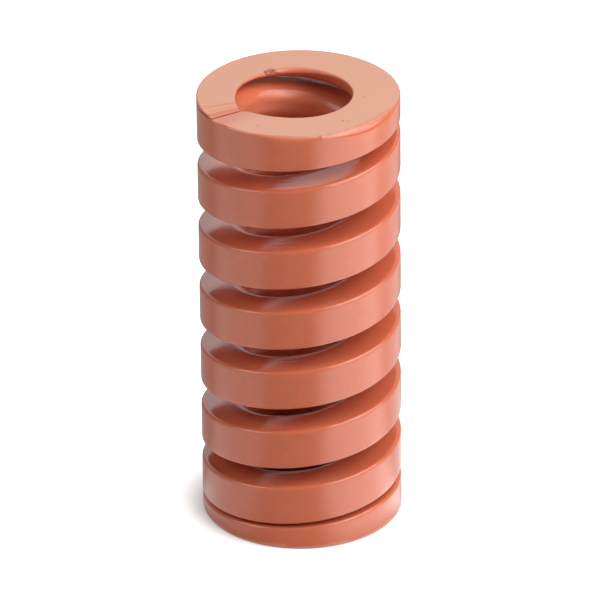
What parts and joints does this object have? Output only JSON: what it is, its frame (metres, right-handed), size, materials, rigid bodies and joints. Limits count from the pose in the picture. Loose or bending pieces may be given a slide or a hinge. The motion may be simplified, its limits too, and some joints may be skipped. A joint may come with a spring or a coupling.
{
  "type": "die spring",
  "caption": "Right-hand compression spring of heavy flat-sided wire, closed and ground flat at both ends, for a round pocket or over a guide rod.",
  "frame": {"origin": "middle of the lower ground end, on the spring's axis", "axes": "+Z along the spring's axis, from the lower ground end to the upper one; the wire's upper tip lies at 203 degrees from +X, counted from +X towards +Y"},
  "size_m": [0.0348, 0.0348, 0.0794],
  "materials": {
    "enamelled_spring_steel": "semi-gloss terracotta brown enamel over spring steel, thin and matt on the ground ends"
  },
  "bodies": {
    "root": {"die_spring": "enamelled_spring_steel"}
  },
  "joints": []
}
